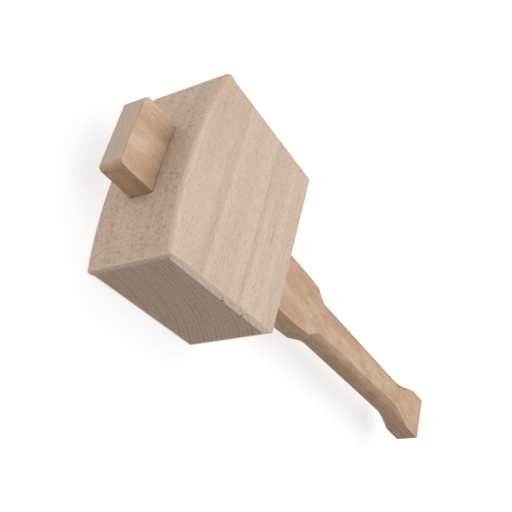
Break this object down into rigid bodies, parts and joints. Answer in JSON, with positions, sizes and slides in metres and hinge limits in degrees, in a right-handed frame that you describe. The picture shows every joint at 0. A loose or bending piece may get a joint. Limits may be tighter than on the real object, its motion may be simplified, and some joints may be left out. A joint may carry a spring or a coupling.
{
  "type": "wooden mallet",
  "caption": "Carpenter's wooden mallet: solid block head with an arched top and two canted striking faces, on a tapered handle that wedges through it from the top.",
  "frame": {"origin": "middle of the lower cheek, half way up the head's straight sides", "axes": "+X up the handle from the butt to the head's arched top, +Y along the striking axis, +Z the outward normal of the upper cheek; the mallet lies on its lower cheek"},
  "size_m": [0.3015, 0.1146, 0.054],
  "materials": {
    "head_wood": "sanded pale beech with a thin satin wax, end grain darker",
    "handle_wood": "sanded warm beech with a thin satin wax"
  },
  "bodies": {
    "head": {"head": "head_wood"},
    "handle": {"handle": "handle_wood"}
  },
  "joints": [
    {"name": "handle_draw", "type": "slide", "parent": "head", "child": "handle", "axis": [1, 0, 0], "range_m": [0, 0.28]}
  ]
}
